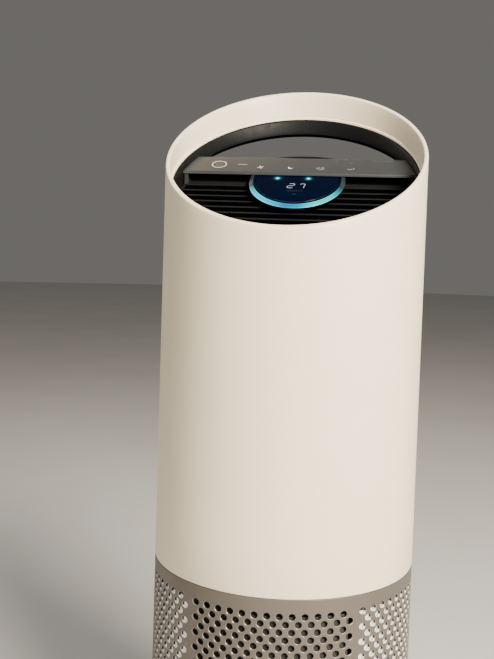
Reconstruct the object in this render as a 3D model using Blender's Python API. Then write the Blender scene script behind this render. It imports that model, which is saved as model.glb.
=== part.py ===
"""Free-standing tower air purifier, modelled in millimetres and written in metres.

Air enters through a perforated sleeve round the foot, passes a drum filter and a lamp, is driven
up by a centrifugal fan, and leaves through two slatted decks set in a slanted open bowl.  The
origin is on the floor under the tower's axis, +Z is up and the front faces -Y.
"""
import math

import bmesh
import bpy
from mathutils import Vector

# ---------------------------------------------------------------- driving dimensions (mm)
MM = 0.001
SHELL_R = 115.0            # outside radius at the seam between sleeve and shell
DRAFT = 0.0072             # radius lost per mm of height, the same cone over the whole tower
SEAM_Z = 278.0             # height of that seam
RIM_Z = 633.3              # height on the axis of the slanted plane the bowl is laid out from
TILT = math.radians(30.0)  # slope of that plane, low at the front
SLOPE = math.tan(TILT)
RIM_RISE = 1.4             # the rim itself stands higher on the axis and slopes a little more
RIM_SLOPE = math.tan(math.radians(30.7))
GAP = 0.3                  # clearance kept between pieces that touch

SHELL_WALL = 3.6
LEDGE_DROP = 20.5          # lip inside the shell that covers the bezel's edge
BEZEL_OUT = 4.4            # insets from the outside wall
BEZEL_IN = 6.2
BEZEL_TOP = -21.9          # heights above the slanted plane
BEZEL_LOW = -74.0
SLEEVE_WALL = 2.0
SHOULDER_Z = 26.0          # step on the base that the sleeve stands on
COVER_LOW = 4.6            # plate under the base
COVER_TOP = 8.0
SCREW_R = 60.0             # distance of the cover's screws from the axis
FOOT_R = 92.0
POST_LOW = 29.8            # upright bars between the base and the filter deck
POST_TOP = 264.0
SLEEVE_TOP = SEAM_Z - GAP
DOOR_HALF = math.radians(72.0)
SEAM_GAP = math.radians(0.25)
FRONT = -math.pi / 2
REAR = math.pi / 2

HAND_TOP = -38.0           # hand slot through the rear wall, heights above the slanted plane
HAND_LOW = -58.5
HAND_HALF = math.radians(56.5)

BAR_TOP = -28.0            # control bar across the bowl
BAR_FRONT = 20.0
BAR_BACK = 46.0
BAR_PLATE = 2.7
DECK_EDGE = 28.0           # back edge of the front deck
BEAM_BACK = 44.0
FRONT_DECK = -41.0
REAR_DECK = -61.0
DECK_THICK = 8.0
SLAT_PITCH = 8.66
SLAT = 2.2
FRONT_SLOTS = 13
REAR_SLOTS = 6

DISC_Y = 15.6              # display disc, round in plan
DISC_R = 36.7
RING_IN = 37.0             # bevelled light ring round the disc
RING_OUT = 42.5
DISC_TOP = -31.2
DISC_CUT = 10.5            # chord where the disc stops under the bar, from its centre

FILTER_R = 104.0
FILTER_BORE = 60.0
FILTER_LOW = 25.3
FILTER_TOP = 260.1
DECK_Z = 264.3             # plate that closes the filter chamber
FAN_Z = 300.0              # floor of the fan housing
FAN_TOP = 440.0
HOUSING_R = 98.5
IMPELLER_R = 80.0
HINGE_INSET = 1.8          # hinge axis, inside the door's right edge
HINGE_STEP = math.radians(1.25)
PIN_R = 0.8
PIN_BORE = 1.1
PIN_REACH = 5.0            # length of each hinge pin above or below the door's end
LATCH_ANGLE = math.radians(154.25)
LATCH_HALF = math.radians(5.65)
LATCH_LOW = 269.2          # slot for the latch key in the plain band at the door's top
LATCH_TOP = 276.0
LATCH_PLAY = 0.4
SCREEN_LOW = 34.0          # dust screens behind the holes
SCREEN_TOP = 262.0
SHAFT_Z = 372.0            # impeller plate, where the rotor's origin is

ROUND = 72                 # segments round the tower
MIDDLE = 36
SMALL = 14

# ---------------------------------------------------------------- finishes
WHITE = ((0.80, 0.77, 0.70), 0.42, 0.0)
GREY_SLEEVE = ((0.36, 0.34, 0.31), 0.45, 0.2)
BLACK = ((0.02, 0.022, 0.024), 0.40, 0.0)
BAR_GREY = ((0.15, 0.145, 0.14), 0.38, 0.3)
NATURAL = ((0.72, 0.71, 0.68), 0.55, 0.0)
FELT = ((0.82, 0.80, 0.76), 0.95, 0.0)
CARBON = ((0.03, 0.03, 0.03), 0.95, 0.0)
FOAM = ((0.10, 0.10, 0.10), 0.98, 0.0)
RUBBER = ((0.05, 0.05, 0.05), 0.85, 0.0)
STEEL = ((0.60, 0.60, 0.62), 0.32, 1.0)
BOARD = ((0.02, 0.16, 0.07), 0.50, 0.0)
LENS = ((0.005, 0.012, 0.03), 0.08, 0.0)
GLOW = ((0.10, 0.75, 0.95), 0.30, 0.0)
QUARTZ = ((0.75, 0.78, 0.90), 0.10, 0.0)
RIBBON = ((0.05, 0.20, 0.45), 0.80, 0.0)


# ---------------------------------------------------------------- shape helpers
def clear_scene():
    for item in list(bpy.data.objects):
        bpy.data.objects.remove(item, do_unlink=True)


def material(name, look):
    colour, roughness, metallic = look
    mat = bpy.data.materials.new(name)
    mat.use_nodes = True
    shader = mat.node_tree.nodes["Principled BSDF"]
    shader.inputs["Base Color"].default_value = (*colour, 1.0)
    shader.inputs["Roughness"].default_value = roughness
    shader.inputs["Metallic"].default_value = metallic
    return mat


def place(name, bm, look, origin=(0.0, 0.0, 0.0)):
    """Make the object from a bmesh in mm; its own origin goes to the given point."""
    bmesh.ops.recalc_face_normals(bm, faces=bm.faces)
    bmesh.ops.translate(bm, verts=bm.verts, vec=-Vector(origin))
    bmesh.ops.scale(bm, verts=bm.verts, vec=(MM, MM, MM))
    mesh = bpy.data.meshes.new(name)
    bm.to_mesh(mesh)
    bm.free()
    mesh.shade_smooth()
    mesh.set_sharp_from_angle(angle=math.radians(32.0))
    mesh.materials.append(material(name, look))
    obj = bpy.data.objects.new(name, mesh)
    obj.location = Vector(origin) * MM
    bpy.context.scene.collection.objects.link(obj)
    return obj


def combine(obj, operation, name, bm):
    """Cut a shape from an object, or join one to it, with an exact boolean."""
    tool = place(name, bm, BLACK)
    tool.hide_render = True
    tool.display_type = "WIRE"
    modifier = obj.modifiers.new(name, "BOOLEAN")
    modifier.solver = "EXACT"
    modifier.operation = operation
    modifier.object = tool


def outer_r(z):
    return SHELL_R - DRAFT * (z - SEAM_Z)


def level(z, inset):
    """Section point at a height, inset from the tower's outside."""
    return outer_r(z) - inset, z


def wall(angle, drop, inset):
    """Section point on the tower's wall at a height above the bowl's slanted plane."""
    climb = SLOPE * math.sin(angle)
    radius = SHELL_R - inset - DRAFT * (RIM_Z + drop - SEAM_Z)
    radius /= 1.0 + DRAFT * climb
    return radius, RIM_Z + drop + climb * radius


def rim_point(angle, drop, inset):
    """Section point at a height above the rim, which slopes more than the bowl's plane."""
    extra = (RIM_SLOPE - SLOPE) * math.sin(angle) * wall(angle, 0, 0)[0]
    return wall(angle, drop + RIM_RISE + extra, inset)


def spread(start, end, count):
    return [start + (end - start) * i / (count - 1) for i in range(count)]


def turn(count):
    return [2.0 * math.pi * i / count for i in range(count)]


def swept(section, angles, closed=True, bm=None):
    """Carry a closed section of (radius, height) points round the axis."""
    bm = bm or bmesh.new()
    loops = []
    for angle in angles:
        side, front = math.cos(angle), math.sin(angle)
        loops.append([bm.verts.new((r * side, r * front, z)) for r, z in section(angle)])
    following = loops[1:] + loops[:1] if closed else loops[1:]
    for here, there in zip(loops, following):
        for i in range(len(here)):
            j = (i + 1) % len(here)
            bm.faces.new((here[i], here[j], there[j], there[i]))
    if not closed:
        bm.faces.new(loops[0])
        bm.faces.new(loops[-1])
    return bm


def turned(profile, count=MIDDLE, centre=(0.0, 0.0), bm=None):
    """Turn a profile whose first and last points lie on the axis."""
    bm = bm or bmesh.new()
    rings = []
    for r, z in profile:
        if r == 0.0:
            rings.append([bm.verts.new((centre[0], centre[1], z))] * count)
            continue
        points = [(centre[0] + r * math.cos(a), centre[1] + r * math.sin(a), z) for a in turn(count)]
        rings.append([bm.verts.new(point) for point in points])
    for low, high in zip(rings, rings[1:]):
        for i in range(count):
            j = (i + 1) % count
            corners = [low[i], low[j], high[j], high[i]]
            bm.faces.new(list(dict.fromkeys(corners)))
    return bm


def lofted(loops, bm=None):
    """Join equal loops of points and close both ends."""
    bm = bm or bmesh.new()
    rings = [[bm.verts.new(point) for point in loop] for loop in loops]
    for low, high in zip(rings, rings[1:]):
        for i in range(len(low)):
            j = (i + 1) % len(low)
            bm.faces.new((low[i], low[j], high[j], high[i]))
    bm.faces.new(rings[0])
    bm.faces.new(rings[-1])
    return bm


def block(low, high, bm=None):
    (x0, y0, z0), (x1, y1, z1) = low, high
    corners = [(x0, y0), (x1, y0), (x1, y1), (x0, y1)]
    return lofted([[(x, y, z0) for x, y in corners], [(x, y, z1) for x, y in corners]], bm)


def slanted(outline, low, high, bm=None):
    """Raise a plan outline between two heights above the slanted plane."""
    loops = [[(x, y, RIM_Z + SLOPE * y + drop) for x, y in outline] for drop in (low, high)]
    return lofted(loops, bm)


def rod(start, end, radius, count=SMALL, bm=None):
    """Closed round bar between two points."""
    bm = bm or bmesh.new()
    start, end = Vector(start), Vector(end)
    spin = (end - start).to_track_quat("Z", "Y").to_matrix()
    rings = []
    for centre in (start, end):
        ring = [spin @ Vector((radius * math.cos(a), radius * math.sin(a), 0)) for a in turn(count)]
        rings.append([centre + point for point in ring])
    return lofted(rings, bm)


def chord_plan(y_low, y_high, inset, drop, steps=20):
    """Plan outline inside the bowl between two straight lines across it."""
    def reach(y):
        angle = math.asin(y / wall(REAR, drop, inset)[0])
        for _ in range(4):
            angle = math.asin(y / wall(angle, drop, inset)[0])
        return angle

    start = reach(y_low) if y_low is not None else FRONT
    end = reach(y_high) if y_high is not None else REAR
    right = []
    for angle in spread(start, end, steps):
        radius = wall(angle, drop, inset)[0]
        right.append((radius * math.cos(angle), radius * math.sin(angle)))
    left = [(-x, y) for x, y in reversed(right) if x > 0.001]
    return right + left


# ---------------------------------------------------------------- foot
def build_base():
    pan = [(0, 25), (105.5, 25), (106, 29.4), (110, 29.4), (110, SHOULDER_Z)]
    pan += [level(SHOULDER_Z, 0.6), level(SHOULDER_Z - 0.6, 0), level(6, 0), level(COVER_LOW, 1.2)]
    pan += [level(COVER_LOW, 3.4), level(22, 3.4), (0, 22)]
    base = place("base", turned(pan, ROUND), GREY_SLEEVE)

    corners = [math.radians(degrees) for degrees in (52, 128, 232, 308)]
    screw_spots = [(SCREW_R * math.cos(a), SCREW_R * math.sin(a)) for a in corners]
    bosses = bmesh.new()
    for x, y in screw_spots:
        boss = [(0, 22.6), (5, 22.6), (5, COVER_TOP + 0.4), (2, COVER_TOP + 0.4), (2, 20), (0, 20)]
        turned(boss, SMALL, (x, y), bosses)
    combine(base, "UNION", "base_bosses", bosses)
    combine(base, "DIFFERENCE", "base_inlet_hole", block((-12.3, 100, 9.2), (12.3, 122, 20.8)))
    bottom, top = hinge_line()
    pin_low = SHOULDER_Z - PIN_REACH
    pin_seat = rod(along(bottom, top, pin_low - GAP), along(bottom, top, 40), PIN_BORE)
    combine(base, "DIFFERENCE", "base_pin_seat", pin_seat)

    cover_r = level(6, 3.8)[0]
    plate = [(0, COVER_TOP), (cover_r - 0.6, COVER_TOP), (cover_r, COVER_TOP - 0.6)]
    plate += [(cover_r, COVER_LOW), (0, COVER_LOW)]
    cover = place("bottom_cover", turned(plate, ROUND), BLACK)
    holes = bmesh.new()
    for x, y in screw_spots:
        turned([(0, 9), (2, 9), (2, 6.4), (4.1, 6.4), (4.1, 4), (0, 4)], SMALL, (x, y), holes)
    combine(cover, "DIFFERENCE", "cover_screw_holes", holes)

    for number, (x, y) in enumerate(screw_spots, 1):
        screw = [(0, 19.6), (1.2, 19.6), (1.6, 18.8), (1.6, 6.1)]
        screw += [(3.7, 6.1), (3.7, 5.2), (3, 4.8), (0, 4.8)]
        place(f"base_screw_{number}", turned(screw, SMALL, (x, y)), STEEL)
    for number, degrees in enumerate((45, 135, 225, 315), 1):
        angle = math.radians(degrees)
        spot = (FOOT_R * math.cos(angle), FOOT_R * math.sin(angle))
        pad = [(0, COVER_LOW - GAP), (9, COVER_LOW - GAP), (9, 1.2), (8, 0), (0, 0)]
        place(f"foot_pad_{number}", turned(pad, SMALL, spot), RUBBER)

    inlet = place("power_inlet", block((-12, 98, 9.5), (12, 115.6, 20.5)), BLACK)
    combine(inlet, "DIFFERENCE", "inlet_cavity", block((-8.6, 104, 11.4), (8.6, 120, 18.6)))


def build_posts():
    """Four upright bars that carry the upper body past the filter."""
    for number, degrees in enumerate((8, -60, -120, 172), 1):
        centre = math.radians(degrees)
        section = [(105.6, POST_LOW), (109.4, POST_LOW), (109.4, POST_TOP), (105.6, POST_TOP)]
        angles = spread(centre - 0.06, centre + 0.06, 4)
        place(f"chassis_post_{number}", swept(lambda _: section, angles, False), BLACK)


# ---------------------------------------------------------------- sleeve and filter door
def hinge_line():
    """Bottom and top of the door's hinge axis, which follows the wall's draft."""
    angle = REAR - DOOR_HALF + SEAM_GAP + HINGE_STEP
    ends = []
    for z in (SHOULDER_Z, SEAM_Z):
        radius = outer_r(z) - HINGE_INSET
        ends.append(Vector((radius * math.cos(angle), radius * math.sin(angle), z)))
    return ends


def along(bottom, top, z):
    return bottom + (top - bottom) * (z - bottom.z) / (top.z - bottom.z)


def build_sleeve():
    low, high = SHOULDER_Z + GAP, SLEEVE_TOP
    section = [level(low, 0.5), level(low + 0.5, 0), level(high - 0.5, 0), level(high, 0.5)]
    shelf_top = DECK_Z + 9.3
    shelf_low = DECK_Z + 6.4
    section += [level(high, SLEEVE_WALL), level(shelf_top, SLEEVE_WALL), level(shelf_top, 6.5)]
    section += [level(shelf_low, 6.5), level(shelf_low, SLEEVE_WALL), level(low, SLEEVE_WALL)]
    half = math.pi - DOOR_HALF - SEAM_GAP
    angles = spread(FRONT - half, FRONT + half, 55)
    place("lower_sleeve", swept(lambda _: section, angles, False), GREY_SLEEVE)

    screen = [level(SCREEN_LOW, 3.2), level(SCREEN_TOP, 3.2)]
    screen += [level(SCREEN_TOP, 4.6), level(SCREEN_LOW, 4.6)]
    half = math.radians(34)
    for name, turn_by, look in (("front", 0, CARBON), ("left", -72, FELT), ("right", 72, FELT)):
        centre = FRONT + math.radians(turn_by)
        angles = spread(centre - half, centre + half, 18)
        place(f"screen_{name}", swept(lambda _: screen, angles, False), look)


def build_door():
    low, high = SHOULDER_Z + GAP + 0.1, SLEEVE_TOP
    start = REAR - DOOR_HALF + SEAM_GAP
    end = REAR + DOOR_HALF - SEAM_GAP
    rib_end = start + math.radians(3.2)

    def section(angle):
        inner = 3.4 if angle < rib_end else SLEEVE_WALL
        points = [level(low, 0.5), level(low + 0.5, 0), level(high - 0.5, 0), level(high, 0.5)]
        return points + [level(high, inner), level(low, inner)]

    angles = [start, start + HINGE_STEP, rib_end - 0.001] + spread(rib_end + 0.001, end, 36)
    bottom, top = hinge_line()
    door = place("filter_door", swept(section, angles, False), GREY_SLEEVE, bottom)
    pins = {"bottom": (SHOULDER_Z - PIN_REACH, SHOULDER_Z + PIN_REACH)}
    pins["top"] = (SEAM_Z - PIN_REACH - 1, SEAM_Z + PIN_REACH)
    bores = bmesh.new()
    for pin_low, pin_top in pins.values():
        rod(along(bottom, top, pin_low - GAP), along(bottom, top, pin_top + GAP), PIN_BORE, bm=bores)
    combine(door, "DIFFERENCE", "door_pin_bores", bores)

    slot = [level(LATCH_LOW, -2), level(LATCH_TOP, -2), level(LATCH_TOP, 5), level(LATCH_LOW, 5)]
    angles = spread(LATCH_ANGLE - LATCH_HALF, LATCH_ANGLE + LATCH_HALF, 7)
    combine(door, "DIFFERENCE", "door_latch_slot", swept(lambda _: slot, angles, False))
    key_low, key_top = LATCH_LOW + LATCH_PLAY, LATCH_TOP - LATCH_PLAY
    key = [level(key_low, 0.6), level(key_low + 0.5, 0.1), level(key_top - 0.5, 0.1)]
    key += [level(key_top, 0.6), level(key_top, 2.7), level(key_low, 2.7)]
    key_half = LATCH_HALF - LATCH_PLAY / SHELL_R
    angles = spread(LATCH_ANGLE - key_half, LATCH_ANGLE + key_half, 9)
    seat_z = 272.0
    seat_r = outer_r(seat_z)
    seat = Vector((seat_r * math.cos(LATCH_ANGLE), seat_r * math.sin(LATCH_ANGLE), seat_z))
    place("door_latch", swept(lambda _: key, angles, False), BLACK, seat)

    screen_top = SCREEN_TOP - 4
    screen = [level(SCREEN_LOW, 3.9), level(screen_top, 3.9)]
    screen += [level(screen_top, 5.2), level(SCREEN_LOW, 5.2)]
    angles = spread(math.radians(26), math.radians(149), 32)
    place("door_screen", swept(lambda _: screen, angles, False), FELT, bottom)

    for name, (pin_low, pin_top) in pins.items():
        pin = rod(along(bottom, top, pin_low), along(bottom, top, pin_top), PIN_R, 16)
        place(f"hinge_pin_{name}", pin, STEEL)


# ---------------------------------------------------------------- filter cartridge
def build_filter():
    low, high = FILTER_LOW, FILTER_TOP
    dish = [(0, low + 3), (97, low + 3), (98, low + 6), (103, low + 6), (FILTER_R, low + 5)]
    dish += [(FILTER_R, low + 1), (FILTER_R - 1, low), (0, low)]
    place("filter_bottom_cap", turned(dish), NATURAL)
    ring = [(FILTER_BORE, high - 4), (FILTER_BORE + 1, high), (FILTER_R - 1, high)]
    ring += [(FILTER_R, high - 1), (FILTER_R, high - 5.7), (FILTER_BORE, high - 5.7)]
    place("filter_top_cap", swept(lambda _: ring, turn(MIDDLE)), NATURAL)

    media_low, media_high = low + 6 + GAP, high - 5.7 - GAP
    pleats, crest, root, sheet = 36, 101.6, 68.0, 6.0

    def fold(angle):
        step = round(angle * pleats / math.pi)
        outer = crest if step % 2 == 0 else root
        inner = outer - sheet
        return [(outer, media_low), (outer, media_high), (inner, media_high), (inner, media_low)]

    place("filter_media", swept(fold, turn(2 * pleats)), FELT)
    skin = [(102.2, media_low), (103.8, media_low), (103.8, media_high), (102.2, media_high)]
    place("filter_wrap", swept(lambda _: skin, turn(MIDDLE)), CARBON)
    tab = [(104.4, 120), (105.6, 118), (105.6, 172), (104.4, 170)]
    tab_half = math.radians(4.9)
    angles = spread(REAR - tab_half, REAR + tab_half, 5)
    place("filter_tab", swept(lambda _: tab, angles, False), RIBBON)
    seal = [(62, FILTER_TOP + GAP), (72, FILTER_TOP + GAP), (71, DECK_Z - GAP), (63, DECK_Z - GAP)]
    place("filter_seal", swept(lambda _: seal, turn(MIDDLE)), FOAM)


# ---------------------------------------------------------------- fan stack
def build_inlet():
    deck = [(60, DECK_Z), (109.4, DECK_Z), (109.4, DECK_Z + 6), (100, DECK_Z + 6)]
    deck += [(98, DECK_Z + 3), (74, DECK_Z + 3), (73, DECK_Z + 6), (60, DECK_Z + 6)]
    place("filter_deck", swept(lambda _: deck, turn(MIDDLE)), BLACK)
    low, high = DECK_Z + 6 + GAP, FAN_Z - GAP
    mouth = [(72.0, low), (68.0, low + 4), (66.0, low + 12), (66.0, high)]
    mouth += [(69.0, high), (69.0, low + 12), (71.0, low + 6), (76.0, low + 3), (76.0, low)]
    place("inlet_ring", swept(lambda _: mouth, turn(MIDDLE)), BLACK)

    lamp_half, lamp_z, socket_end = 46.0, 287.0, 63.0
    place("uv_lamp", rod((-lamp_half, 0, lamp_z), (lamp_half, 0, lamp_z), 6.0), QUARTZ)
    for number, side in enumerate((-1, 1), 1):
        inner, outer = sorted((side * (lamp_half + GAP), side * socket_end))
        socket = block((inner, -8, lamp_z - 8), (outer, 8, lamp_z + 8))
        place(f"uv_socket_{number}", socket, NATURAL)


def blade(count, index, inner, outer, low, high, sweep, thick, bm):
    """One blade, curved back in plan, as a loft along its length."""
    loops = []
    for step in spread(0.0, 1.0, 6):
        radius = inner + (outer - inner) * step
        angle = 2.0 * math.pi * index / count + sweep * step ** 0.8
        half = 0.5 * thick / radius
        corners = []
        for side, z in ((-half, low), (half, low), (half, high), (-half, high)):
            corners.append((radius * math.cos(angle + side), radius * math.sin(angle + side), z))
        loops.append(corners)
    return lofted(loops, bm)


def build_fan():
    casing = [(72, FAN_Z), (HOUSING_R, FAN_Z), (HOUSING_R, FAN_TOP), (96, FAN_TOP)]
    casing += [(96, FAN_Z + 3), (72, FAN_Z + 3)]
    place("fan_housing", swept(lambda _: casing, turn(MIDDLE)), NATURAL)

    plate = [(4.3, 376), (4.3, 350), (9, 348), (14, 354), (22, 366), (32, 371.5)]
    plate += [(IMPELLER_R, 371.5), (IMPELLER_R, 374), (12, 374), (11, 376)]
    seat = (0, 0, SHAFT_Z)
    impeller = place("impeller", swept(lambda _: plate, turn(MIDDLE)), NATURAL, seat)
    blades = bmesh.new()
    for index in range(9):
        blade(9, index, 40, IMPELLER_R - 0.6, 313, 372.5, -0.95, 2.0, blades)
    combine(impeller, "UNION", "impeller_blades", blades)
    shroud = [(58, 308), (61, 308), (66, 312), (IMPELLER_R, 316)]
    shroud += [(IMPELLER_R, 318), (65, 314.5), (58, 310)]
    combine(impeller, "UNION", "impeller_shroud", swept(lambda _: shroud, turn(MIDDLE)))

    place("motor_shaft", rod((0, 0, 336), (0, 0, 402), 4.0), STEEL, seat)
    nut = [(5, 338), (8, 338), (8, 347), (5, 347)]
    place("shaft_nut", swept(lambda _: nut, turn(6)), STEEL, seat)

    can = [(0, 424), (32, 424), (36, 420), (36, 384), (12, 384), (12, 379)]
    can += [(4.4, 379), (4.4, 404), (0, 404)]
    place("motor", turned(can), STEEL)
    guide = [(93, 386), (95.6, 386), (95.6, 430), (93, 430)]
    stator = place("stator", swept(lambda _: guide, turn(MIDDLE)), NATURAL)
    vanes = bmesh.new()
    for index in range(7):
        blade(7, index, 38, 94.2, 388, 428, 0.55, 2.2, vanes)
    combine(stator, "UNION", "stator_vanes", vanes)
    cup = [(36.6, 386), (39.2, 386), (39.2, 428.5), (30, 432)]
    cup += [(18, 432), (18, 428), (28, 428), (36.6, 425)]
    combine(stator, "UNION", "stator_cup", swept(lambda _: cup, turn(MIDDLE)))


def build_duct():
    duct_top = BEZEL_LOW - 2

    def section(angle):
        top_r, top_z = wall(angle, duct_top, 8.6)
        inner_r, inner_z = wall(angle, duct_top, 10.6)
        return [(HOUSING_R, FAN_TOP + GAP), (top_r, top_z), (inner_r, inner_z), (96, FAN_TOP + GAP)]

    place("outlet_duct", swept(section, turn(MIDDLE)), BLACK)
    front, back = 35.0, 37.5
    low, top = FAN_TOP + 5, RIM_Z + SLOPE * front + duct_top
    loops = []
    for y in (front, back):
        loops.append([(-86, y, low), (86, y, low), (92, y, top), (-92, y, top)])
    place("air_divider", lofted(loops), BLACK)


def build_electrics():
    place("main_board", block((-105.8, -28, 320), (-104.2, 28, 420)), BOARD)
    place("power_supply", block((100.5, -23, 320), (107, 23, 404)), BLACK)


# ---------------------------------------------------------------- upper shell and bowl
def hand_slot(grow, out_inset, in_inset):
    """Curved block with round ends, the shape of the hand slot grown all round."""
    middle = 0.5 * (HAND_TOP + HAND_LOW)
    half = 0.5 * (HAND_TOP - HAND_LOW) + grow
    reach = HAND_HALF + grow / SHELL_R
    curve = half / SHELL_R
    straight = spread(-(reach - curve), reach - curve, 29)
    bends = [math.radians(d) for d in (78, 60, 42, 24, 10)]
    left = [(-(reach - curve) - curve * math.sin(b), half * math.cos(b)) for b in bends]
    right = [(-step, height) for step, height in reversed(left)]
    columns = left + [(step, half) for step in straight] + right
    heights = {REAR + step: height for step, height in columns}

    def section(angle):
        top, low = middle + heights[angle], middle - heights[angle]
        return [wall(angle, top, out_inset), wall(angle, top, in_inset),
                wall(angle, low, in_inset), wall(angle, low, out_inset)]

    return swept(section, list(heights), False)


def build_shell():
    low = SEAM_Z + GAP

    def section(angle):
        points = [level(low, 0.6), level(low + 0.6, 0.0)]
        rim = [(-1.6, 0.0), (-0.8, 0.22), (-0.22, 0.8), (0.0, 1.6), (0.0, 2.2), (-0.2, 3.0)]
        rim += [(-0.6, 3.4), (-1.4, SHELL_WALL)]
        points += [rim_point(angle, drop, inset) for drop, inset in rim]
        inside = [(-LEDGE_DROP, SHELL_WALL), (-LEDGE_DROP - 0.5, 5.2), (-LEDGE_DROP - 1.0, 5.2)]
        inside += [(-LEDGE_DROP - 1.2, 4.0), (-80.0, 4.0), (-82.0, SHELL_WALL)]
        points += [wall(angle, drop, inset) for drop, inset in inside]
        return points + [level(low, SHELL_WALL)]

    shell = place("shell", swept(section, turn(ROUND)), WHITE)
    combine(shell, "DIFFERENCE", "shell_hand_slot", hand_slot(2.0, -4, 9))
    bottom, top = hinge_line()
    pin_top = SEAM_Z + PIN_REACH
    pin_seat = rod(along(bottom, top, 270), along(bottom, top, pin_top + GAP), PIN_BORE)
    combine(shell, "DIFFERENCE", "shell_pin_seat", pin_seat)


def build_bezel():
    def section(angle):
        ring = [(BEZEL_TOP, BEZEL_OUT), (BEZEL_TOP, BEZEL_IN - 0.5), (BEZEL_TOP - 0.5, BEZEL_IN)]
        ring += [(BEZEL_LOW, BEZEL_IN), (BEZEL_LOW, BEZEL_OUT)]
        return [wall(angle, drop, inset) for drop, inset in ring]

    bezel = place("top_bezel", swept(section, turn(ROUND)), BLACK)
    combine(bezel, "UNION", "bezel_collar", hand_slot(1.6, 0.9, 5.3))
    combine(bezel, "DIFFERENCE", "bezel_hand_slot", hand_slot(0.0, -5, 10))


def slat_slots(rows, drop, inset):
    """Gaps between slats, each a strip across the bowl that stops short of the wall."""
    slots = bmesh.new()
    for y_low, y_high in rows:
        far = max(abs(y_low), abs(y_high))
        half = math.sqrt(wall(FRONT, drop, inset)[0] ** 2 - far ** 2) - 4.5
        outline = [(-half, y_low), (half, y_low), (half, y_high), (-half, y_high)]
        slanted(outline, drop - DECK_THICK - 3, drop + 3, slots)
    return slots


def build_decks():
    inset = BEZEL_IN + 0.5
    plan = chord_plan(None, DECK_EDGE, inset, FRONT_DECK, 30)
    front = place("front_grille", slanted(plan, FRONT_DECK - DECK_THICK, FRONT_DECK), BLACK)
    rows = []
    for index in range(FRONT_SLOTS):
        edge = DECK_EDGE - 7.0 - SLAT_PITCH * index
        rows.append((edge - SLAT_PITCH + SLAT, edge))
    combine(front, "DIFFERENCE", "front_grille_slots", slat_slots(rows, FRONT_DECK, inset))

    plan = chord_plan(BEAM_BACK + 0.4, None, inset, REAR_DECK, 24)
    rear = place("rear_grille", slanted(plan, REAR_DECK - DECK_THICK, REAR_DECK), BLACK)
    rows = []
    for index in range(REAR_SLOTS):
        edge = BEAM_BACK + 3.4 + SLAT_PITCH * index
        rows.append((edge, edge + SLAT_PITCH - SLAT))
    combine(rear, "DIFFERENCE", "rear_grille_slots", slat_slots(rows, REAR_DECK, inset))


# ---------------------------------------------------------------- control bar and display
def build_bar():
    inset = BEZEL_IN + 0.6
    under = BAR_TOP - BAR_PLATE
    plan = chord_plan(DECK_EDGE + 0.4, BEAM_BACK, inset, BAR_TOP, 6)
    beam = place("bar_beam", slanted(plan, -73, under - GAP), BLACK)
    pocket_low, pocket_high = DECK_EDGE + 3, BEAM_BACK - 2.5
    pocket = [(-90, pocket_low), (90, pocket_low), (90, pocket_high), (-90, pocket_high)]
    combine(beam, "DIFFERENCE", "beam_pocket", slanted(pocket, under - 6, under + 4))
    posts = bmesh.new()
    for side in (-1, 1):
        outline = [(99.5, 20.8), (102.6, 20.8), (102.4, 24), (101, 29), (99.5, 29)]
        outline = [(side * x, y) for x, y in outline]
        slanted(outline, FRONT_DECK + 0.6, under - GAP - 0.1, posts)
    combine(beam, "UNION", "beam_end_posts", posts)

    plan = chord_plan(BAR_FRONT, BAR_BACK, inset, BAR_TOP, 8)
    middle = 0.5 * (BAR_FRONT + BAR_BACK)
    inner = [(x * 0.995, middle + (y - middle) * 0.967) for x, y in plan]
    loops = []
    for outline, drop in ((plan, under), (plan, BAR_TOP - 0.5), (inner, BAR_TOP)):
        loops.append([(x, y, RIM_Z + SLOPE * y + drop) for x, y in outline])
    place("bar_cover", lofted(loops), BAR_GREY)
    board_low, board_high = pocket_low + 1, pocket_high - 1
    board = [(-88, board_low), (88, board_low), (88, board_high), (-88, board_high)]
    place("touch_board", slanted(board, under - 3.4, under - 1.6), BOARD)


def disc_angles(count):
    """Angles round the display, which stops at a chord under the bar."""
    edge = math.asin(DISC_CUT / DISC_R)
    return spread(-math.pi - edge, edge, count)


def disc_point(radius, drop, angle):
    """Point at a height above the display's slanted face."""
    y = DISC_Y + radius * math.sin(angle)
    return radius * math.cos(angle), y, RIM_Z + SLOPE * y + DISC_TOP + drop


def disc(levels, count=37):
    """Slanted disc with a chord, built from (radius, height) levels."""
    loops = []
    for radius, drop in levels:
        loops.append([disc_point(radius, drop, angle) for angle in disc_angles(count)])
    return lofted(loops)


def build_display():
    place("display_lens", disc([(DISC_R, -1.3), (DISC_R, -0.4), (DISC_R - 0.5, 0)]), LENS)
    bevel = [(RING_IN, -0.1), (RING_IN + 0.7, -0.1), (RING_OUT - 0.3, -1.6), (RING_OUT, -2.1)]
    bevel += [(RING_OUT - 0.2, -3.0), (RING_OUT - 2.0, -3.8), (RING_IN, -3.8)]
    sections = []
    for angle in disc_angles(37):
        sections.append([disc_point(radius, drop, angle) for radius, drop in bevel])
    place("light_ring", lofted(sections), GLOW)
    board_r = DISC_R - 0.7
    place("display_board", disc([(board_r, -3.4), (board_r, -1.7)], 25), BOARD)
    place("display_housing", disc([(33, -7.4), (39, -6.4), (40, -4.2)]), BLACK)


clear_scene()
build_base()
build_posts()
build_sleeve()
build_door()
build_filter()
build_inlet()
build_fan()
build_duct()
build_electrics()
build_shell()
build_bezel()
build_decks()
build_bar()
build_display()
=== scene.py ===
"""Looks of the tower air purifier: fine shells, perforations, slats, display and finishes.

Everything is drawn in millimetres in the frame's own axes (front is -Y) and scaled to metres.
"""

import math

import bmesh
import bpy
from mathutils import Matrix, Vector


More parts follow.
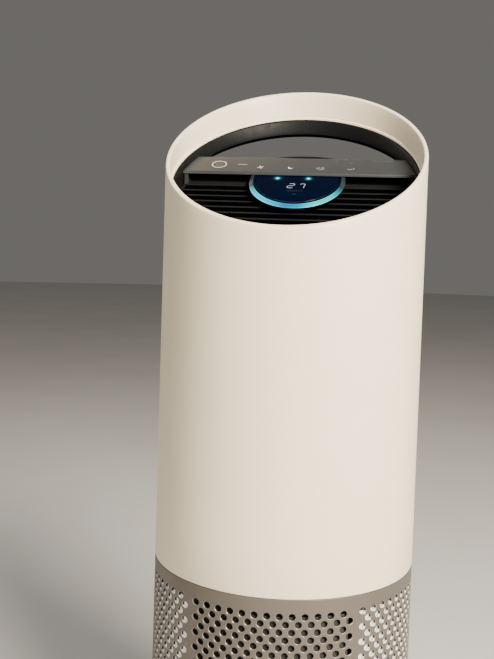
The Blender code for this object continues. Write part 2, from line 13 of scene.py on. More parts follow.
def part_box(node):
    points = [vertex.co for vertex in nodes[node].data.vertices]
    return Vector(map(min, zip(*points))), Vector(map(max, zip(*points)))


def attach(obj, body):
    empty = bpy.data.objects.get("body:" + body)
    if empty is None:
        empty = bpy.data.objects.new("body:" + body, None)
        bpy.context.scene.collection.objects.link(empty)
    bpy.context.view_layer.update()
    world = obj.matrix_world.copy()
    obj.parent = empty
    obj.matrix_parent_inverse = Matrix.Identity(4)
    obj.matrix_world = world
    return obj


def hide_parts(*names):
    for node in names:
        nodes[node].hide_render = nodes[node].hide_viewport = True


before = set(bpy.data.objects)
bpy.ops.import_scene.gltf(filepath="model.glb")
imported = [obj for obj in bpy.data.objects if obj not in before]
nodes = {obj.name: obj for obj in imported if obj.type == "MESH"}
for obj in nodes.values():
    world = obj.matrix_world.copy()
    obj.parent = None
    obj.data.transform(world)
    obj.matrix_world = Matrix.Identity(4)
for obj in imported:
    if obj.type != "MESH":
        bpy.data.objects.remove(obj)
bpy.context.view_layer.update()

# ---------------------------------------------------------------- sizes shared with the CAD model (mm)
MM = 0.001
SHELL_R = 115.0
DRAFT = 0.0072
SEAM_Z = 278.0
RIM_Z = 633.3
TILT = math.radians(30.0)
SLOPE = math.tan(TILT)
RIM_RISE = 1.4
RIM_SLOPE = math.tan(math.radians(30.7))
FRONT = -math.pi / 2
REAR = math.pi / 2
SHELL_LOW = SEAM_Z
SLEEVE_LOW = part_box("lower_sleeve")[0][2] / MM
SLEEVE_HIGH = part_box("lower_sleeve")[1][2] / MM
SHELL_WALL = 3.6
SLEEVE_WALL = 2.0
LEDGE = -20.5
BEZEL_TOP = -21.9
BEZEL_IN = 6.2
BAR_TOP = -28.0
BAR_FRONT = 20.0
BAR_BACK = 46.0
BAR_UNDER = -30.7
FRONT_DECK = -41.0
REAR_DECK = -61.0
DECK_EDGE = 28.0
BEAM_BACK = 44.0
DISC_Y = 15.6
DISC_TOP = -31.2
DISC_R = 36.7
DISC_CUT = 10.5
RING_IN = 37.0
RING_OUT = 42.5

# perforation pattern of the sleeve
SECTION = math.radians(36.0)     # half of one of the five pattern sections
HOLE_R = 2.76
HOLE_EDGE = 0.42
HOLE_SIDES = 16
PITCH_X = 9.98
PITCH_Z = 6.38
FIRST_ROW = SEAM_Z - 14.4
ROWS = 35
HOLES_PER_ROW = 13
ROW_SHIFT = (-1.1, 3.89)         # where alternate rows sit on the section
HEX_TIP = (PITCH_X ** 2 / 4 + PITCH_Z ** 2) / (2 * PITCH_Z)
HEX_SIDE = (PITCH_Z ** 2 - PITCH_X ** 2 / 4) / (2 * PITCH_Z)
LATCH_SLOT = (269.2, 276.0)      # heights of the latch's slot in the door
LATCH_SPAN = (43.0, 64.5)        # its columns, along the chord of the door's last section
SEAM_GAP = math.radians(0.25)    # half the gap between door and sleeve
# painted light below this share of a side hole's radius, painted shade above it
LIT_BELOW = -0.3                 # a side hole's wall is lit below this share of its radius
EDGE_LIP = 0.5                   # softened edge round the sleeve's top and bottom
DOOR_HOLES = (math.radians(28.0), math.radians(147.4))   # where the door's screen is behind it
DOOR_PLAIN_ROWS = 2              # top rows of the door above its screen, not pierced
SCREEN_MIDDLE = 4.2              # inset between the outside and inside of every screen


def on_plane(x, y, drop):
    """Point at a height above the bowl's slanted plane."""
    return x, y, RIM_Z + SLOPE * y + drop


# ---------------------------------------------------------------- node materials
MIX_FIRST, MIX_SECOND, MIX_RESULT = 6, 7, 2     # colour sockets of a mix node
THREAD_DEPTH = 0.0002                           # relief of woven and felted pieces, metres
CREAM = ((0.75, 0.75, 0.72), (0.85, 0.85, 0.82))    # touch marks, from the left to the right
SPOTS = ((-17.5, 16.2), (9.9, 16.6))            # bright points in the display, plan (x, y)
SPOT_REACH = 8.5                                # how far each one's halo spreads
SPOT_FALL = 4.5                                 # how steeply the halo dies away
SPOT_GAIN = 3.0
LIT_REACH = 40.0                                # marks and digits change colour over this, each way
RING_FADE = (-8.0, 6.0)                         # plan y where the ring's light dies away
# the beam's painted shade gives way to plain grey over this span
POST_X = (98.0, 99.5)                           # where the beam turns into its end posts
RING_HUES = [(0.0, (0.0, 0.85, 1.05)), (0.2, (0.0, 0.90, 1.25)), (0.42, (0.0, 0.30, 0.62)),
             (0.55, (0.0, 0.38, 0.70)), (0.72, (0.0, 1.20, 1.30)), (0.86, (0.0, 1.0, 1.05)),
             (1.0, (0.0, 0.22, 0.26))]


def new_material(name, **sockets):
    mat = bpy.data.materials.new(name)
    mat.use_nodes = True
    shader = mat.node_tree.nodes["Principled BSDF"]
    for key, value in sockets.items():
        shader.inputs[key.replace("_", " ")].default_value = value
    return mat, mat.node_tree, shader


def add_node(tree, kind, **values):
    item = tree.nodes.new(kind)
    for key, value in values.items():
        if key in item.inputs:
            item.inputs[key].default_value = value
        else:
            setattr(item, key, value)
    return item


def join(tree, source, item, socket):
    tree.links.new(source, item.inputs[socket])


def axes(tree, vector):
    """Sockets X, Y and Z of a vector."""
    item = add_node(tree, "ShaderNodeSeparateXYZ")
    join(tree, vector, item, "Vector")
    return item.outputs


def calculate(tree, operation, *values):
    """Result of a math node; each value is a socket or a number."""
    item = add_node(tree, "ShaderNodeMath", operation=operation)
    for socket, value in enumerate(values):
        if isinstance(value, float):
            item.inputs[socket].default_value = value
        else:
            join(tree, value, item, socket)
    return item.outputs["Value"]


def mix(tree, factor, first, second, how="MIX"):
    """Mix of two colours; the factor is a socket or a number."""
    item = add_node(tree, "ShaderNodeMix", data_type="RGBA", blend_type=how)
    if isinstance(factor, float):
        item.inputs["Factor"].default_value = factor
    else:
        join(tree, factor, item, "Factor")
    join(tree, first, item, MIX_FIRST)
    join(tree, second, item, MIX_SECOND)
    return item.outputs[MIX_RESULT]


def object_coordinates(tree, stretch=(1.0, 1.0, 1.0)):
    coords = add_node(tree, "ShaderNodeTexCoord")
    mapping = add_node(tree, "ShaderNodeMapping", Scale=stretch)
    join(tree, coords.outputs["Object"], mapping, "Vector")
    return mapping.outputs["Vector"]


def noise(tree, vector, scale, detail=3.0, rough=0.5):
    item = add_node(tree, "ShaderNodeTexNoise", Scale=scale, Detail=detail, Roughness=rough)
    join(tree, vector, item, "Vector")
    return item.outputs["Fac"]


def ramp(tree, factor, stops):
    item = add_node(tree, "ShaderNodeValToRGB")
    elements = item.color_ramp.elements
    while len(elements) < len(stops):
        elements.new(0.5)
    for element, (position, colour) in zip(elements, stops):
        element.position = position
        element.color = (*colour, 1.0)
    join(tree, factor, item, "Fac")
    return item.outputs["Color"]


def span(tree, value, low, high, source=(0.3, 0.7)):
    limits = {"From Min": source[0], "From Max": source[1], "To Min": low, "To Max": high}
    item = add_node(tree, "ShaderNodeMapRange", **limits)
    join(tree, value, item, "Value")
    return item.outputs["Result"]


def blend(tree, factor, first, second):
    return ramp(tree, factor, [(0.3, first), (0.7, second)])


def gloss(tree, shader, value, low, high):
    join(tree, span(tree, value, low, high), shader, "Roughness")


def bump(tree, shader, height, distance, strength=1.0):
    item = add_node(tree, "ShaderNodeBump", Distance=distance, Strength=strength)
    join(tree, height, item, "Height")
    if shader.inputs["Normal"].is_linked:
        join(tree, shader.inputs["Normal"].links[0].from_socket, item, "Normal")
    join(tree, item.outputs["Normal"], shader, "Normal")


def shade(colour, amount):
    return tuple(min(1.0, max(0.0, channel * (1.0 + amount))) for channel in colour)


def moulded(name, colour, roughness, tint=0.05, cloud=22.0, grain=1800.0, depth=0.00004, swing=0.06,
            **sockets):
    """Moulded or painted surface: faint clouding, fine grain and uneven gloss."""
    mat, tree, shader = new_material(name, **sockets)
    vector = object_coordinates(tree)
    clouds = noise(tree, vector, cloud, 4.0)
    colours = blend(tree, clouds, shade(colour, -tint), shade(colour, tint))
    join(tree, colours, shader, "Base Color")
    wear = noise(tree, vector, cloud * 7.0, 5.0, 0.6)
    gloss(tree, shader, wear, roughness - swing, roughness + swing)
    bump(tree, shader, noise(tree, vector, grain, 2.0), depth, 0.6)
    return mat


def flake_paint(name, colour, roughness, metallic):
    """Metallic paint: tiny flakes of uneven brightness over a soft orange-peel surface."""
    mat, tree, shader = new_material(name, Metallic=metallic)
    vector = object_coordinates(tree)
    flakes = add_node(tree, "ShaderNodeTexVoronoi", Scale=2600.0)
    join(tree, vector, flakes, "Vector")
    colours = ramp(tree, flakes.outputs["Distance"],
                   [(0.1, shade(colour, 0.10)), (0.7, shade(colour, -0.10))])
    clouds = noise(tree, vector, 16.0, 3.0)
    cloudy = blend(tree, clouds, (0.93, 0.93, 0.93), (1.0, 1.0, 1.0))
    join(tree, mix(tree, 1.0, colours, cloudy, "MULTIPLY"), shader, "Base Color")
    gloss(tree, shader, noise(tree, vector, 140.0, 4.0), roughness - 0.05, roughness + 0.07)
    bump(tree, shader, noise(tree, vector, 700.0, 2.0), 0.00003, 0.5)
    return mat


def outward_face(tree, inset):
    """One outside a surface that follows the tower's draft at an inset, nothing inside it; masks the
    screens' painted glow.
    """
    height = axes(tree, object_coordinates(tree))["Z"]
    away = add_node(tree, "ShaderNodeVectorMath", operation="LENGTH")
    join(tree, object_coordinates(tree, (1.0, 1.0, 0.0)), away, 0)
    upright = calculate(tree, "MULTIPLY_ADD", height, DRAFT, away.outputs["Value"])
    limit = (SHELL_R + DRAFT * SEAM_Z - inset) * MM
    soft = 0.1 * MM
    return span(tree, upright, 0.0, 1.0, (limit - soft, limit + soft))


def fabric(name, colour, pitch, tint, glow=0.0):
    """Woven or felted sheet: crossed threads and loose fibres; glow paints light on its outward face as an
    emission, though the sheet is no lamp.
    """
    mat, tree, shader = new_material(name, Sheen_Weight=0.25)
    vector = object_coordinates(tree)
    waves = []
    for direction, distortion in (("Z", 1.5), ("DIAGONAL", 2.0)):
        wave = add_node(tree, "ShaderNodeTexWave", bands_direction=direction, Scale=1.0 / pitch,
                        Distortion=distortion)
        join(tree, vector, wave, "Vector")
        waves.append(wave.outputs["Fac"])
    fibres = noise(tree, vector, 0.9 / pitch, 6.0, 0.7)
    colours = blend(tree, fibres, shade(colour, -tint), shade(colour, tint))
    join(tree, colours, shader, "Base Color")
    gloss(tree, shader, fibres, 0.8, 1.0)
    bump(tree, shader, calculate(tree, "MULTIPLY", *waves), THREAD_DEPTH, 0.7)
    bump(tree, shader, fibres, THREAD_DEPTH * 0.7, 0.6)
    if glow:
        outward = outward_face(tree, SCREEN_MIDDLE)
        join(tree, colours, shader, "Emission Color")
        join(tree, span(tree, outward, 0.0, glow, (0.0, 1.0)), shader, "Emission Strength")
    return mat


def brushed(name, colour, roughness, stretch):
    """Turned or brushed metal with fine lines."""
    mat, tree, shader = new_material(name, Metallic=1.0)
    vector = object_coordinates(tree, stretch)
    lines = noise(tree, vector, 260.0, 5.0, 0.65)
    colours = blend(tree, lines, shade(colour, -0.12), shade(colour, 0.1))
    join(tree, colours, shader, "Base Color")
    gloss(tree, shader, lines, roughness - 0.08, roughness + 0.12)
    bump(tree, shader, lines, 0.00003, 0.5)
    return mat


def circuit(name):
    """Green solder mask with lighter tracks under it."""
    mat, tree, shader = new_material(name)
    vector = object_coordinates(tree)
    tracks = add_node(tree, "ShaderNodeTexBrick", Scale=90.0, Color1=(0.012, 0.10, 0.045, 1.0),
                      Color2=(0.015, 0.13, 0.055, 1.0), Mortar=(0.04, 0.24, 0.10, 1.0))
    join(tree, vector, tracks, "Vector")
    join(tree, tracks.outputs["Color"], shader, "Base Color")
    gloss(tree, shader, noise(tree, vector, 300.0), 0.3, 0.5)
    bump(tree, shader, tracks.outputs["Fac"], 0.00005, 0.5)
    return mat


def lit(name, left, right, strength, base):
    """Glowing print whose colour changes from the left to the right, with faint clouding."""
    mat, tree, shader = new_material(name, Emission_Strength=strength, Base_Color=(*base, 1.0))
    vector = object_coordinates(tree)
    reach = LIT_REACH * MM
    across = span(tree, axes(tree, vector)["X"], 0.0, 1.0, (-reach, reach))
    clouds = noise(tree, vector, 120.0, 3.0)
    hues = ramp(tree, calculate(tree, "MULTIPLY_ADD", clouds, 0.06, across), [(0.0, left), (1.0, right)])
    join(tree, hues, shader, "Emission Color")
    gloss(tree, shader, clouds, 0.2, 0.4)
    return mat


WHITE = moulded("shell_white", (0.93, 0.83, 0.64), 0.42, tint=0.015, grain=2400.0, depth=0.00002,
                Coat_Weight=0.12, Coat_Roughness=0.3)
PAINT = flake_paint("sleeve_paint", (0.165, 0.147, 0.127), 0.40, 0.5)
# Lighter copy of the sleeve paint for chamfers and edges: painted highlight along the rims
EDGE = flake_paint("sleeve_edge_highlight", (0.27, 0.25, 0.22), 0.40, 0.4)
# Hole walls: the dark copy is painted shade, all round the front holes and on the upper part of the side
# holes; the pale copy with a glow is painted light on the lower part of the side holes
SHADED_HOLE_WALL = moulded("hole_wall", (0.030, 0.027, 0.024), 0.6, tint=0.15, grain=1800.0,
                    Specular_IOR_Level=0.2)
LIT_WALL = moulded("lit_hole_wall", (0.70, 0.66, 0.60), 0.5, tint=0.06, grain=1800.0,
                   Emission_Color=(0.90, 0.86, 0.80, 1.0), Emission_Strength=0.34)
BLACK = moulded("bowl_black", (0.0045, 0.005, 0.006), 0.52, tint=0.12, grain=1500.0, depth=0.00004,
                Specular_IOR_Level=0.16)
# Slats: the crest is a lit copy of the black plastic (painted highlight), the rest a near-black copy
# without gloss (painted shade); the same painted-shade black goes on the frame's walls, the slot's lip and
# the inner duct
CREST = moulded("slat_crest_painted_light", (0.0085, 0.009, 0.010), 0.42, tint=0.12, grain=1500.0, depth=0.00003,
                Specular_IOR_Level=0.16)
SLAT_SHADE = moulded("slat_painted_shade", (0.0006, 0.0007, 0.0009), 0.7, tint=0.12, grain=1500.0, depth=0.00003,
                     Specular_IOR_Level=0.0)
DARK = moulded("inner_black", (0.03, 0.03, 0.031), 0.5, tint=0.15, grain=1200.0, depth=0.00006)
NATURAL = moulded("natural_plastic", (0.62, 0.61, 0.58), 0.5, tint=0.05, grain=1300.0, depth=0.00005)
RUBBER = moulded("rubber", (0.035, 0.035, 0.034), 0.8, tint=0.15, grain=1600.0, depth=0.0001)
FOAM = moulded("seal_foam", (0.06, 0.06, 0.06), 0.95, tint=0.3, cloud=90.0, grain=700.0, depth=0.0005)
FELT = fabric("filter_felt", (0.84, 0.82, 0.77), 0.0011, 0.06)
# Screens behind the side holes, with painted light: a glow on their outward face
LIT_FELT = fabric("screen_felt_painted_glow", (0.88, 0.85, 0.80), 0.0011, 0.05, glow=0.7)
CARBON = fabric("carbon_cloth", (0.022, 0.022, 0.022), 0.0014, 0.35)
RIBBON = fabric("tab_ribbon", (0.05, 0.16, 0.36), 0.0009, 0.15)
STEEL = brushed("turned_steel", (0.56, 0.56, 0.58), 0.30, (1.0, 1.0, 14.0))
BOARD = circuit("circuit_board")
LENS = moulded("display_glass", (0.0003, 0.0018, 0.010), 0.10, tint=0.3, cloud=30.0, grain=500.0,
               depth=0.000004, swing=0.03, Specular_IOR_Level=0.06)


def ring_light(name, gain):
    """Light in the ring: cyan with a bluer middle, fading to clear grey under the bar."""
    mat, tree, shader = new_material(name, Emission_Strength=gain, Specular_IOR_Level=0.15)
    vector = object_coordinates(tree)
    place = axes(tree, vector)
    across = span(tree, place["X"], 0.0, 1.0, (-RING_OUT * MM, RING_OUT * MM))
    clouds = noise(tree, vector, 150.0, 3.0)
    clear = blend(tree, clouds, (0.022, 0.021, 0.022), (0.045, 0.043, 0.044))
    shown = span(tree, place["Y"], 1.0, 0.0, (RING_FADE[0] * MM, RING_FADE[1] * MM))
    join(tree, mix(tree, shown, clear, ramp(tree, across, RING_HUES)), shader, "Emission Color")
    join(tree, blend(tree, clouds, (0.004, 0.012, 0.014), (0.006, 0.018, 0.020)), shader, "Base Color")
    gloss(tree, shader, clouds, 0.25, 0.4)
    return mat


def spot_light(name):
    """Two bright points that fade into the glass round them."""
    mat, tree, shader = new_material(name, Specular_IOR_Level=0.06)
    vector = object_coordinates(tree)
    halos = []
    for x, y in SPOTS:
        away = add_node(tree, "ShaderNodeVectorMath", operation="DISTANCE")
        away.inputs[1].default_value = Vector(on_plane(x, y, DISC_TOP)) * MM
        join(tree, vector, away, 0)
        halo = span(tree, away.outputs["Value"], 1.0, 0.0, (0.0, SPOT_REACH * MM))
        halos.append(calculate(tree, "POWER", halo, SPOT_FALL))
    total = calculate(tree, "ADD", *halos)
    colours = ramp(tree, total,
                   [(0.0, (0.0, 0.10, 0.16)), (0.35, (0.02, 0.55, 0.62)), (0.8, (0.75, 1.0, 1.0))])
    join(tree, colours, shader, "Emission Color")
    join(tree, calculate(tree, "MULTIPLY", total, SPOT_GAIN), shader, "Emission Strength")
    clouds = noise(tree, vector, 60.0, 3.0)
    join(tree, blend(tree, clouds, (0.0007, 0.002, 0.009), (0.001, 0.0025, 0.011)), shader, "Base Color")
    gloss(tree, shader, clouds, 0.08, 0.14)
    return mat


def bar_material():
    """Fine satin grey with a faint sheen of lines along the bar."""
    mat, tree, shader = new_material("bar_grey", Metallic=0.25)
    colour = (0.0365, 0.041, 0.0455)
    vector = object_coordinates(tree, (1.0, 10.0, 10.0))
    lines = noise(tree, vector, 160.0, 4.0, 0.6)
    colours = blend(tree, lines, shade(colour, -0.06), shade(colour, 0.06))
    join(tree, colours, shader, "Base Color")
    gloss(tree, shader, lines, 0.38, 0.50)
    bump(tree, shader, noise(tree, object_coordinates(tree), 2500.0, 2.0), 0.00002, 0.5)
    return mat


def shaded_beam_material():
    """Near-black painted shade between the bowl's sides, where the beam lies in the shadow under the bar,
    greyer on the two end posts.
    """
    mat, tree, shader = new_material("beam_painted_shade", Specular_IOR_Level=0.06)
    vector = object_coordinates(tree)
    side = calculate(tree, "ABSOLUTE", axes(tree, vector)["X"])
    post = span(tree, side, 0.0, 1.0, (POST_X[0] * MM, POST_X[1] * MM))
    colours = ramp(tree, post, [(0.0, (0.001, 0.0011, 0.0012)), (1.0, (0.030, 0.029, 0.031))])
    join(tree, colours, shader, "Base Color")
    grain = noise(tree, vector, 1500.0, 2.0)
    gloss(tree, shader, grain, 0.5, 0.6)
    bump(tree, shader, grain, 0.00003, 0.6)
    return mat


BAR = bar_material()
BEAM = shaded_beam_material()
GLOW = ring_light("ring_glow", 1.0)
GLOW_EDGE = ring_light("ring_edge_glow", 1.5)
SPOT = spot_light("spot_glow")
DIGIT = lit("digit_glow", (0.66, 0.76, 0.95), (0.80, 0.88, 1.0), 1.1, (0.1, 0.1, 0.1))
DIM_DIGIT = lit("dim_digit_glow", (0.4, 0.42, 0.45), (0.5, 0.52, 0.55), 0.07, (0.03, 0.03, 0.035))
MARK = lit("mark_light", *CREAM, 0.35, (0.6, 0.6, 0.58))
FAINT = lit("mark_faint", *CREAM, 0.10, (0.4, 0.4, 0.39))
DIM_MARK = lit("mark_dim", (0.7, 0.7, 0.68), (0.8, 0.8, 0.78), 0.01, (0.11, 0.11, 0.11))
QUARTZ = moulded("quartz_glass", (0.70, 0.74, 0.88), 0.08, tint=0.05, cloud=60.0, grain=300.0,
                 depth=0.00001, swing=0.03, Transmission_Weight=0.6, IOR=1.46)


# ---------------------------------------------------------------- mesh helpers
def outer_r(z):
    return SHELL_R - DRAFT * (z - SEAM_Z)


def level(z, inset):
    return outer_r(z) - inset, z


def wall(angle, drop, inset):
    """(radius, height) on the tower's wall at a height above the bowl's slanted plane."""
    climb = SLOPE * math.sin(angle)
    radius = SHELL_R - inset - DRAFT * (RIM_Z + drop - SEAM_Z)
    radius /= 1.0 + DRAFT * climb
    return radius, RIM_Z + drop + climb * radius


def rim_point(angle, drop, inset):
    """(radius, height) at a height above the rim, which slopes more than the bowl's plane."""
    extra = (RIM_SLOPE - SLOPE) * math.sin(angle) * wall(angle, 0, 0)[0]
    return wall(angle, drop + RIM_RISE + extra, inset)


def spread(start, end, count):
    return [start + (end - start) * i / (count - 1) for i in range(count)]


def turn(count):
    return [2.0 * math.pi * i / count for i in range(count)]


def polar(point, angle):
    radius, z = point
    return radius * math.cos(angle), radius * math.sin(angle), z


def add_object(name, data):
    obj = bpy.data.objects.new(name, data)
    bpy.context.scene.collection.objects.link(obj)
    return obj


class Skin:
    """Points shared by place, and faces between them."""

    def __init__(self):
        self.points, self.places, self.faces, self.slots = [], {}, [], []

    def point(self, place):
        key = tuple(round(value, 3) for value in place)
        if key not in self.places:
            self.places[key] = len(self.points)
            self.points.append(place)
        return self.places[key]

    def face(self, corners, slot=0):
        corners = list(dict.fromkeys(corners))
        if len(corners) > 2:
            self.faces.append(corners)
            self.slots.append(slot)

    def strip(self, here, there, slot=0, ring=False):
        count = len(here) if ring else len(here) - 1
        for i in range(count):
            j = (i + 1) % len(here)
            self.face((here[i], here[j], there[j], there[i]), slot)

    def loft(self, loops):
        """Solid through closed loops, capped at both ends."""
        for here, there in zip(loops, loops[1:]):
            self.strip(here, there, ring=True)
        self.face(loops[0])
        self.face(loops[-1])

    def build(self, name, materials, body, replaced=(), sharp=30.0, matrix=None, record_slot=None):
        mesh = bpy.data.meshes.new(name)
        mesh.from_pydata([Vector(p) * MM for p in self.points], [], self.faces)
        for polygon, slot in zip(mesh.polygons, self.slots):
            polygon.material_index = slot
        return finish_piece(name, mesh, materials, body, replaced, sharp, matrix)


def finish_piece(name, mesh, materials, body, replaced=(), sharp=30.0, matrix=None):
    bm = bmesh.new()
    bm.from_mesh(mesh)
    if matrix is not None:
        bmesh.ops.transform(bm, matrix=matrix, verts=bm.verts)
    bmesh.ops.remove_doubles(bm, verts=bm.verts, dist=0.003 * MM)
    bmesh.ops.recalc_face_normals(bm, faces=bm.faces)
    bm.to_mesh(mesh)
    bm.free()
    mesh.shade_smooth()
    mesh.set_sharp_from_angle(angle=math.radians(sharp))
    for mat in materials:
        mesh.materials.append(mat)
    obj = add_object(name, mesh)
    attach(obj, body)
    if replaced:
        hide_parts(*replaced)
    return obj


def chord_plan(y_low, y_high, inset, drop, steps=20):
    """Plan outline inside the bowl between two straight lines across it."""
    def reach(y):
        angle = math.asin(y / wall(REAR, drop, inset)[0])
        for _ in range(4):
            angle = math.asin(y / wall(angle, drop, inset)[0])
        return angle

    start = reach(y_low) if y_low is not None else FRONT
    end = reach(y_high) if y_high is not None else REAR
    right = []
    for angle in spread(start, end, steps):
        radius = wall(angle, drop, inset)[0]
        right.append((radius * math.cos(angle), radius * math.sin(angle)))
    return right + [(-x, y) for x, y in reversed(right) if x > 0.001]


# ---------------------------------------------------------------- perforated sleeve and door
def sheet_point(centre, x, z, depth):
    """Point of a wall section: x along its chord, depth below its outside, holes nearly parallel."""
    radius = outer_r(z)
    edge = radius * math.sin(SECTION)
    x *= 1.0 - depth / radius * min(1.0, abs(x) / edge) ** 4
    reach = math.sqrt((radius - depth) ** 2 - x * x)
    side, front = math.cos(centre), math.sin(centre)
    return side * reach - front * x, front * reach + side * x, z


def row_cells(row):
    """Centres of a row's cells and whether each is pierced."""
    shift = ROW_SHIFT[row % 2]
    middle = (HOLES_PER_ROW - 1) / 2
    return [(shift + PITCH_X * (i - middle), 0 <= i < HOLES_PER_ROW) for i in range(-2, HOLES_PER_ROW + 1)]


def zip_ring(skin, outer, inner, centre):
    """Fill between a cell's outline and its hole; both are (x, z, vertex)."""
    def sort_key(item):
        return math.atan2(item[1] - centre[1], item[0] - centre[0])

    outer, inner = sorted(outer, key=sort_key), sorted(inner, key=sort_key)
    i = j = 0
    while i < len(outer) or j < len(inner):
        here_outer, here_inner = outer[i % len(outer)], inner[j % len(inner)]
        next_outer, next_inner = outer[(i + 1) % len(outer)], inner[(j + 1) % len(inner)]
        outer_angle = sort_key(next_outer) + (2 * math.pi if i + 1 >= len(outer) else 0)
        inner_angle = sort_key(next_inner) + (2 * math.pi if j + 1 >= len(inner) else 0)
        if i < len(outer) and (outer_angle <= inner_angle or j >= len(inner)):
            skin.face((here_outer[2], next_outer[2], here_inner[2]))
            i += 1
        else:
            skin.face((here_outer[2], next_inner[2], here_inner[2]))
            j += 1


def pierced_section(skin, centre, low_limit, high_limit, has_slot):
    """One 72 degree section of the sleeve: both skins, its holes and its plain bands."""
    # Front holes take the painted-shade wall all round; side holes take the painted-light wall on their
    # lower part
    hole_slot = 2 if centre == FRONT else 3

    def clamp(x, z):
        radius = outer_r(z)
        return max(radius * math.sin(low_limit), min(radius * math.sin(high_limit), x))

    def corner(x, z, depth):
        return skin.point(sheet_point(centre, clamp(x, z), z, depth))

    half = PITCH_X / 2
    hexagon = [(0, HEX_TIP), (half, HEX_SIDE), (half, -HEX_SIDE)]
    hexagon += [(0, -HEX_TIP), (-half, -HEX_SIDE), (-half, HEX_SIDE)]
    circle = [(math.cos(a + 0.1), math.sin(a + 0.1)) for a in turn(HOLE_SIDES)]
    for row in range(ROWS):
        z = FIRST_ROW - PITCH_Z * row
        for x, pierced in row_cells(row):
            cell = {0.0: [], SLEEVE_WALL: []}
            for depth, outline in cell.items():
                for dx, dz in hexagon:
                    outline.append((clamp(x + dx, z + dz), z + dz, corner(x + dx, z + dz, depth)))
            angle = centre + x / SHELL_R
            backed = DOOR_HOLES[0] < angle < DOOR_HOLES[1] and row >= DOOR_PLAIN_ROWS
            if not pierced or (centre > 0 and not backed):
                for outline in cell.values():
                    skin.face([vertex for _, _, vertex in outline])
                continue
            rings = []
            for radius, depth in ((HOLE_R + HOLE_EDGE, 0.0), (HOLE_R, HOLE_EDGE), (HOLE_R, SLEEVE_WALL)):
                ring = [(x + radius * c, z + radius * s) for c, s in circle]
                rings.append([(u, v, skin.point(sheet_point(centre, u, v, depth))) for u, v in ring])
            zip_ring(skin, cell[0.0], rings[0], (x, z))
            zip_ring(skin, cell[SLEEVE_WALL], rings[2], (x, z))
            loops = [[vertex for _, _, vertex in ring] for ring in rings]
            # Chamfer round the hole's mouth in the lighter edge paint, a painted highlight
            skin.strip(loops[0], loops[1], 1, ring=True)
            for i, (_, up) in enumerate(circle):
                j = (i + 1) % HOLE_SIDES
                # Upper part of the wall in painted shade, lower part of a side hole in painted light
                part = 2 if up > LIT_BELOW else hole_slot
                skin.face((loops[1][i], loops[1][j], loops[2][j], loops[2][i]), part)

    def zigzag(row, sign):
        z = FIRST_ROW - PITCH_Z * row
        line = []
        for x, _ in row_cells(row):
            line.append((x, z + sign * HEX_TIP))
            line.append((x + half, z + sign * HEX_SIDE))
        return line[:-1]

    def band(line, heights):
        """Plain bands from a zigzag edge through the given heights, then round the wall's edge."""
        columns = []
        for x, z in line:
            outside = [corner(x, z, 0.0)] + [corner(x, h, 0.0) for h in heights[:-1]]
            outside.append(corner(x, heights[-1], EDGE_LIP))
            inside = [corner(x, h, SLEEVE_WALL) for h in reversed(heights)] + [corner(x, z, SLEEVE_WALL)]
            columns.append((x, outside, inside))
        for (x0, out0, in0), (x1, out1, in1) in zip(columns, columns[1:]):
            open_here = has_slot and heights[0] > FIRST_ROW and x0 > LATCH_SPAN[0] and x1 < LATCH_SPAN[1]
            for i in range(len(out0) - 1):
                if not (open_here and i == 1):
                    back = len(in0) - 2 - i
                    skin.face((out0[i], out0[i + 1], out1[i + 1], out1[i]))
                    skin.face((in0[back], in0[back + 1], in1[back + 1], in1[back]))
            # Edge faces in the lighter edge paint, a painted highlight
            skin.face((out0[-1], in0[0], in1[0], out1[-1]), 1)
            if open_here:
                skin.face((out0[1], out1[1], in1[-2], in0[-2]), 1)
                skin.face((out0[2], out1[2], in1[-3], in0[-3]), 1)
        if has_slot and heights[0] > FIRST_ROW:
            inside_slot = [c for c in columns if LATCH_SPAN[0] < c[0] < LATCH_SPAN[1]]
            for _, out, inn in (inside_slot[0], inside_slot[-1]):
                skin.face((out[1], out[2], inn[-3], inn[-2]), 1)

    band(zigzag(0, 1), [*LATCH_SLOT, SLEEVE_HIGH - EDGE_LIP, SLEEVE_HIGH])
    band(zigzag(ROWS - 1, -1), [SLEEVE_LOW + EDGE_LIP, SLEEVE_LOW])


def close_edge(skin, angle):
    """Join outside and inside along an upright end of the wall."""
    outside, inside = {}, {}
    near = 0.02
    for vertex, (x, y, z) in enumerate(skin.points):
        turned = math.atan2(y, x) - angle
        if abs(math.sin(turned)) * SHELL_R > near or math.cos(turned) < 0:
            continue
        inset = outer_r(z) - math.hypot(x, y)
        (outside if inset < SLEEVE_WALL / 2 else inside)[round(z, 3)] = vertex
    shared = sorted(set(outside) & set(inside))
    for low, high in zip(shared, shared[1:]):
        # Upright end of the wall in the lighter edge paint, a painted highlight
        skin.face((outside[low], outside[high], inside[high], inside[low]), 1)


def build_perforated(name, centres, node, body, has_slot):
    """A run of sections, trimmed by the seam gap at its two ends; a slot is in the last one."""
    skin = Skin()
    last = len(centres) - 1
    for number, centre in enumerate(centres):
        low = -SECTION + (SEAM_GAP if number == 0 else 0.0)
        high = SECTION - (SEAM_GAP if number == last else 0.0)
        pierced_section(skin, centre, low, high, has_slot and number == last)
    close_edge(skin, centres[0] - SECTION + SEAM_GAP)
    close_edge(skin, centres[-1] + SECTION - SEAM_GAP)
    # Paint, lighter edge paint as painted highlight, painted-shade hole wall, painted-light hole wall
    materials = [PAINT, EDGE, SHADED_HOLE_WALL, LIT_WALL]
    return skin.build(name, materials, body, [node], 32.0, record_slot="sleeve_grey")


def build_sleeve():
    fixed = [FRONT - 2 * SECTION, FRONT, FRONT + 2 * SECTION]
    build_perforated("perforated_sleeve", fixed, "lower_sleeve", "tower", False)
    door = [REAR - SECTION, REAR + SECTION]
    build_perforated("perforated_door", door, "filter_door", "filter_door", True)


